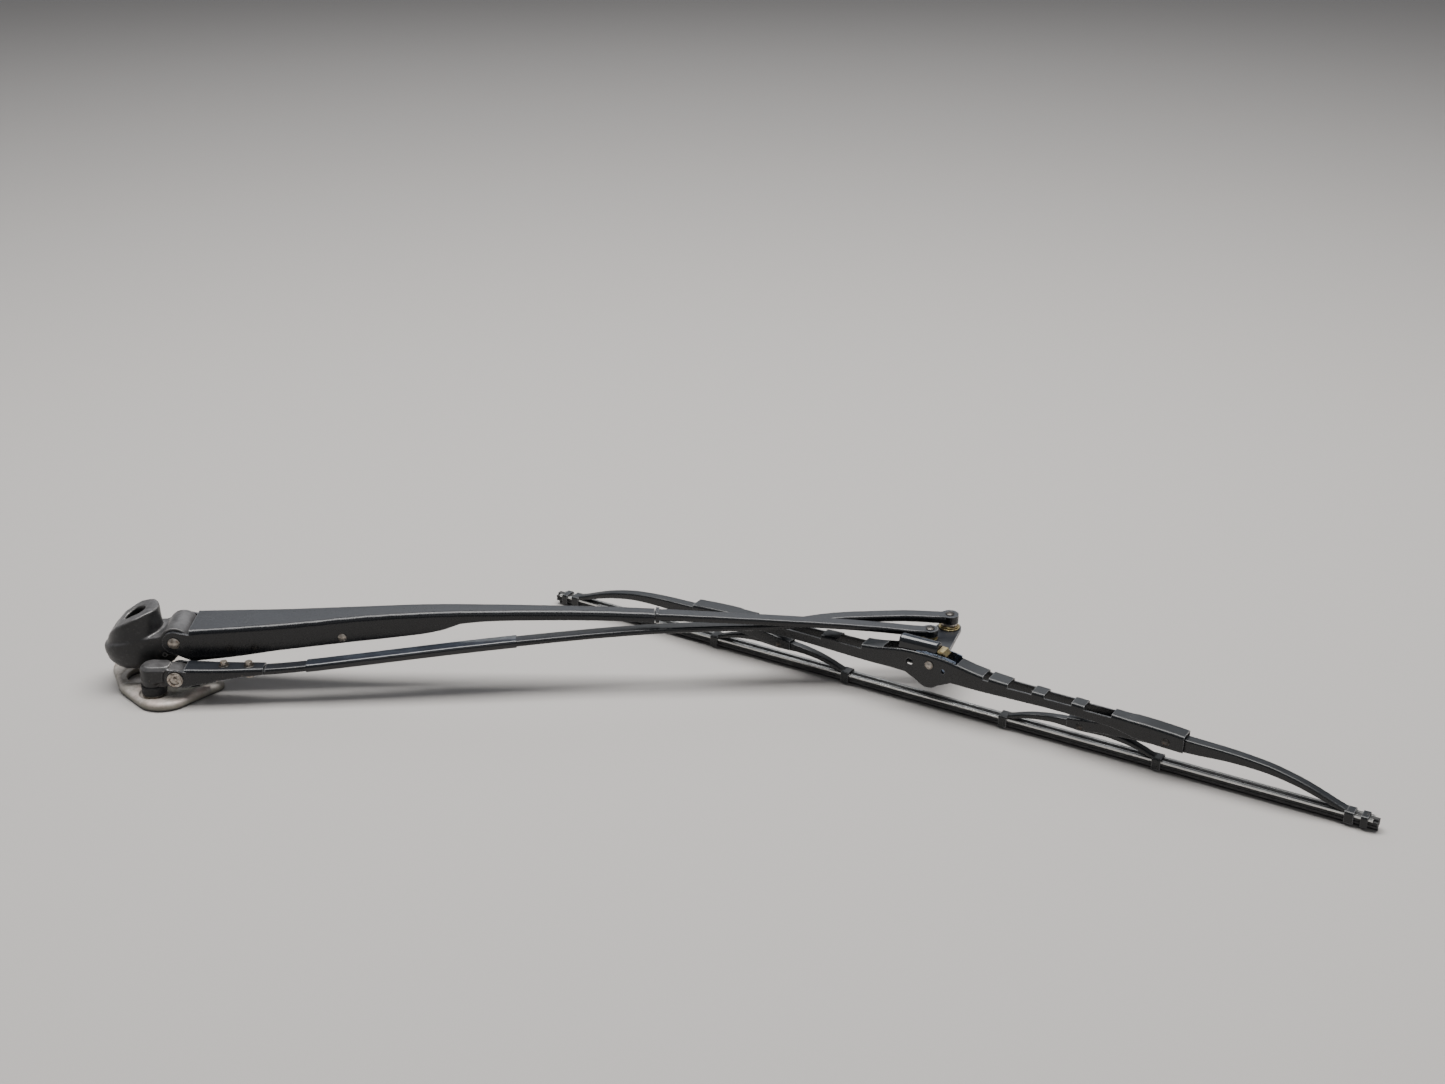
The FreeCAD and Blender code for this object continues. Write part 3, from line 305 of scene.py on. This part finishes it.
# ---- CAD nodes: finish and rounded edges ----
# Cast pieces get a smooth continuous skin: voxel size in mm, smoothing passes.
CAST = {"main_head": (0.6, 26), "control_knuckle": (0.45, 14), "pivot_plate": (0.6, 12)}
SHEET_BEVEL = 0.35
SHARP_ANGLE = 38
WELD = 0.004 * MM


def dress(node, finish, cast=None):
    """Gives a CAD node or a copy of one its material and either a cast skin or small rounded edges."""
    mesh = node.data
    mesh.materials.clear()
    mesh.materials.append(MATERIALS[finish])
    mesh.polygons.foreach_set("use_smooth", [True] * len(mesh.polygons))
    weld = node.modifiers.new("weld", "WELD")
    weld.merge_threshold = WELD
    if cast:
        remesh = node.modifiers.new("skin", "REMESH")
        remesh.mode = "VOXEL"
        remesh.voxel_size = cast[0] * MM
        remesh.use_smooth_shade = True
        relax = node.modifiers.new("relax", "SMOOTH")
        relax.factor = 0.5
        relax.iterations = cast[1]
        return
    bevel = node.modifiers.new("edge", "BEVEL")
    bevel.width = SHEET_BEVEL * MM
    bevel.segments = 2
    bevel.limit_method = "ANGLE"
    bevel.angle_limit = math.radians(SHARP_ANGLE)
    node.modifiers.new("normals", "WEIGHTED_NORMAL")


# Small steel pieces that are darker than their slot's usual finish.
FINISH = {"adapter_bracket": "blued_steel", "far_pivot_rivet": "dark_steel", "near_pivot_rivet": "dark_steel",
          "fork_washers": "dark_steel", "hood_rivets": "dark_steel", "yoke_rivet_left": "dark_steel",
          "yoke_rivet_right": "dark_steel"}
slots = {part["node"]: part["material_slot"] for part in frame["record"]["subparts"]}
for name, node in frame["nodes"].items():
    dress(node, FINISH.get(name, slots[name]), CAST.get(name))


# ---- copies of a node cut in rings across their length ----
def ringed_copy(name, node_name, origin, along, low, high, step):
    """The part of a node between two distances from origin, cut across every step. None if it is empty."""
    node = frame["nodes"][node_name]
    mesh = bmesh.new()
    mesh.from_mesh(node.data)
    mesh.transform(node.matrix_world)
    bmesh.ops.remove_doubles(mesh, verts=mesh.verts, dist=WELD)
    cuts = max(1, round((high - low) / step))
    for i in range(cuts + 1):
        place = origin + along * (low + (high - low) * i / cuts)
        everything = mesh.verts[:] + mesh.edges[:] + mesh.faces[:]
        bmesh.ops.bisect_plane(mesh, geom=everything, dist=1e-6, plane_co=place, plane_no=along,
                               clear_inner=(i == 0), clear_outer=(i == cuts))
    if not mesh.faces:
        mesh.free()
        return None
    data = bpy.data.meshes.new(name)
    mesh.to_mesh(data)
    mesh.free()
    copy = bpy.data.objects.new(name, data)
    bpy.context.scene.collection.objects.link(copy)
    dress(copy, slots[node_name])
    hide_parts(node_name)
    return copy


def joint_place(name):
    found = [joint for joint in frame["record"]["behaviour"]["joints"] if joint["name"] == name]
    return Vector(found[0]["pos_m"])


YOKE_REACH = 64 * MM          # from a yoke's rivet to just past its claws
SETTLE = 22 * MM              # inside the inner claw, where the inner and middle pieces meet
OUTER_BEND = 80 * MM          # outside the yoke's outer claw
RUBBER_END = 400 * MM         # past the end of everything on the blade
RING_STEP = 7 * MM
STRAP_STEP = 2.5 * MM


def wiping_element():
    """Rubber, rails and end stops cut into ringed pieces on each side: from each yoke outwards, just inside
    each yoke, and in the blade's middle.
    """
    for side, other in (("left", "right"), ("right", "left")):
        hinge = joint_place(side + "_bridge_rock")
        far_hinge = joint_place(other + "_bridge_rock")
        middle = (hinge + far_hinge) / 2
        along = (hinge - far_hinge).normalized()
        yoke = (joint_place(side + "_yoke_rock") - middle).dot(along)
        inner = yoke - YOKE_REACH
        outer = yoke + YOKE_REACH
        bridge_body = side + "_bridge"
        yoke_body = side + "_yoke"
        spans = [("outer", inner, RUBBER_END, bridge_body, yoke_body, outer + OUTER_BEND, outer),
                 ("inner", inner - SETTLE, inner, yoke_body, bridge_body, inner, inner - SETTLE),
                 ("middle", 0.0, inner - SETTLE, bridge_body, "blade", inner - SETTLE, 0.0)]
        for node_name in ("wiper_rubber", "backing_rails", "rail_end_stops"):
            for part, low, high, first, second, start, end in spans:
                name = "_".join((node_name, side, part))
                piece = ringed_copy(name, node_name, middle, along, low, high, RING_STEP)
                if piece:
                    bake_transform(piece)


def spring_strap():
    """The strap cut in rings, from its hooked end at the head's pin to its other end at the spring."""
    low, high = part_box("spring_link")
    along = Vector((1, 0, 0))
    origin = Vector((low.x, (low.y + high.y) / 2, (low.z + high.z) / 2))
    length = high.x - low.x
    piece = ringed_copy("spring_strap", "spring_link", origin, along, -MM, length + MM, STRAP_STEP)
    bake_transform(piece)


wiping_element()
spring_strap()


# ---- the tension spring as a real coil ----
def coil():
    """Close-wound wire with a straight tail at the strap and a ring round the spring's pin."""
    low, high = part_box("tension_spring")
    radius = (high.y - low.y) / 2
    centre = (low + high) / 2
    wire = 1.0 * MM
    pitch = 2.04 * wire
    start = low.x + 4 * MM
    end = high.x - 10 * MM
    turns = int((end - start) / pitch)
    per_turn = 18
    eye_radius = 3.2 * MM
    eye_points = 15
    curve = bpy.data.curves.new("spring_coil", "CURVE")
    curve.dimensions = "3D"
    curve.bevel_depth = wire
    curve.bevel_resolution = 3
    points = [Vector((low.x, centre.y, centre.z)), Vector((start - 1.5 * MM, centre.y, centre.z))]
    for i in range(turns * per_turn + 1):
        angle = 2 * math.pi * i / per_turn
        points.append(Vector((start + pitch * i / per_turn, centre.y + (radius - wire) * math.sin(angle),
                              centre.z + (radius - wire) * math.cos(angle))))
    eye = Vector((high.x - 4.2 * MM, centre.y, centre.z))
    for i in range(eye_points):
        angle = math.pi - 2 * math.pi * i / eye_points
        points.append(eye + Vector((math.cos(angle), 0, math.sin(angle))) * eye_radius)
    spline = curve.splines.new("POLY")
    spline.points.add(len(points) - 1)
    for target, point in zip(spline.points, points):
        target.co = (*point, 1)
    obj = bpy.data.objects.new("spring_coil", curve)
    bpy.context.scene.collection.objects.link(obj)
    bpy.context.view_layer.update()
    mesh = bpy.data.meshes.new_from_object(obj.evaluated_get(bpy.context.evaluated_depsgraph_get()))
    bpy.data.objects.remove(obj)
    bpy.data.curves.remove(curve)
    made = bpy.data.objects.new("tension_coil", mesh)
    bpy.context.scene.collection.objects.link(made)
    mesh.materials.append(MATERIALS["spring_steel"])
    mesh.polygons.foreach_set("use_smooth", [True] * len(mesh.polygons))
    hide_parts("tension_spring")
    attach(made, "main_arm")


coil()


# ---- floor, light and camera ----
def floor():
    mesh = bpy.data.meshes.new("floor")
    size = 6.0
    corners = [(-size, -size, 0), (size, -size, 0), (size, size, 0), (-size, size, 0)]
    mesh.from_pydata(corners, [], [(0, 1, 2, 3)])
    obj = bpy.data.objects.new("floor", mesh)
    obj.location = (0.45, 0.0, cad_box[0][2] - 0.1 * MM)
    bpy.context.scene.collection.objects.link(obj)
    s = Shader("floor")
    s.set(Base_Color=(0.40, 0.385, 0.375, 1.0), Roughness=0.62, Specular_IOR_Level=0.3)
    mesh.materials.append(s.material)


def area_light(name, place, aim, size, power, tint=(1, 1, 1)):
    light = bpy.data.lights.new(name, "AREA")
    light.shape = "RECTANGLE"
    light.size, light.size_y = size
    light.energy = power
    light.color = tint
    obj = bpy.data.objects.new(name, light)
    obj.location = place
    obj.rotation_euler = (Vector(aim) - Vector(place)).to_track_quat("-Z", "Y").to_euler()
    bpy.context.scene.collection.objects.link(obj)


def studio():
    centre = (0.46, 0.0, 0.0)
    area_light("overhead", (0.46, 0.35, 2.2), centre, (2.8, 1.1), 118, (1.0, 0.985, 0.96))
    area_light("back", (0.3, 2.6, 1.6), centre, (2.6, 1.0), 11, (0.95, 0.97, 1.0))
    area_light("front", (0.9, -2.4, 1.9), centre, (2.4, 1.0), 6, (1.0, 0.98, 0.96))
    world = bpy.data.worlds.new("soft_room")
    world.use_nodes = True
    background = world.node_tree.nodes["Background"]
    background.inputs["Color"].default_value = (0.80, 0.82, 0.86, 1)
    background.inputs["Strength"].default_value = 0.26
    bpy.context.scene.world = world


# Where the photo was taken from, worked out from the object's size and outline.
CAMERA_PLACE = (0.4568, -1.3275, 0.728)
CAMERA_PITCH = 24.6
CAMERA_LENS = 47.56


def camera():
    data = bpy.data.cameras.new("camera")
    data.sensor_width = 36.0
    data.lens = CAMERA_LENS
    obj = bpy.data.objects.new("camera", data)
    obj.location = CAMERA_PLACE
    obj.rotation_euler = (math.radians(90 - CAMERA_PITCH), 0, 0)
    bpy.context.scene.collection.objects.link(obj)
    bpy.context.scene.camera = obj


floor()
studio()
camera()
